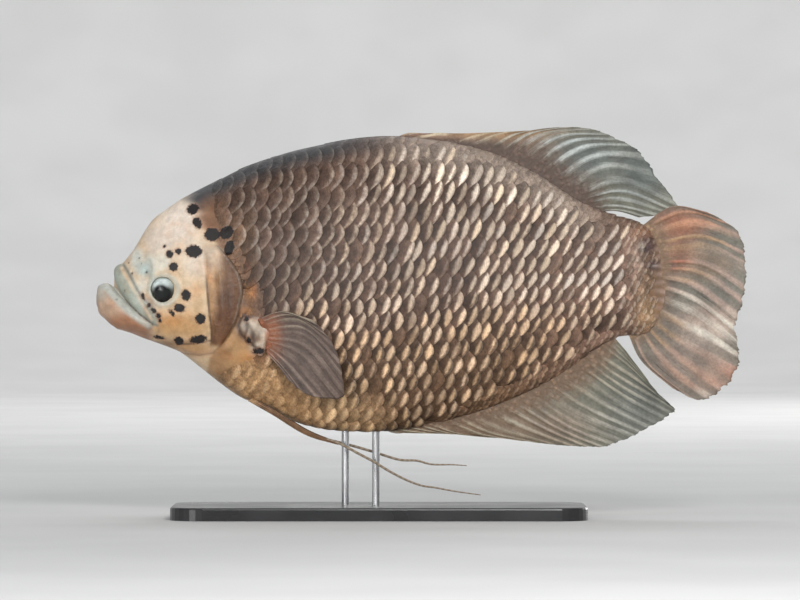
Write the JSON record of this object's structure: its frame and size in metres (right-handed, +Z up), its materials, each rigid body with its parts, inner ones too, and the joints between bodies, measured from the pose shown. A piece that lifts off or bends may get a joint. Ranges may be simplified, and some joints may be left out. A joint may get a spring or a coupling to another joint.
{
  "type": "giant gourami",
  "caption": "Life-size deep-bodied labyrinth fish in a swimming pose, with rayed fins and long thread-like pelvic feelers, held over a flat base by two short rods",
  "frame": {"origin": "on the floor under the middle of the fish, at the middle of the underside of the whole model's box", "axes": "+X from snout to tail, so the fish faces -X; +Y to the fish's right flank; +Z up, from the stand to the back"},
  "size_m": [0.5995, 0.156, 0.3591],
  "materials": {
    "head_skin": "satin",
    "lip_skin": "satin",
    "eye": "polished",
    "gill_skin": "satin",
    "trunk_skin": "satin",
    "fin": "satin",
    "tail_fin": "satin",
    "pectoral_fin": "satin",
    "pelvic_fin": "satin",
    "base": "satin",
    "rod": "brushed"
  },
  "bodies": {
    "root": {"head": "head_skin", "upper_lip": "lip_skin", "lower_jaw": "lip_skin", "eye_left": "eye", "eye_right": "eye", "gill_cover_left": "gill_skin", "gill_cover_right": "gill_skin", "trunk": "trunk_skin", "tail_stalk": "trunk_skin", "dorsal_fin": "fin", "anal_fin": "fin", "caudal_fin": "tail_fin", "pectoral_fin_left": "pectoral_fin", "pectoral_fin_right": "pectoral_fin", "pelvic_fin_left": "pelvic_fin", "pelvic_fin_right": "pelvic_fin", "pelvic_filament_left": "pelvic_fin", "pelvic_filament_right": "pelvic_fin", "stand_base": "base", "stand_rod_front": "rod", "stand_rod_back": "rod"}
  },
  "joints": []
}
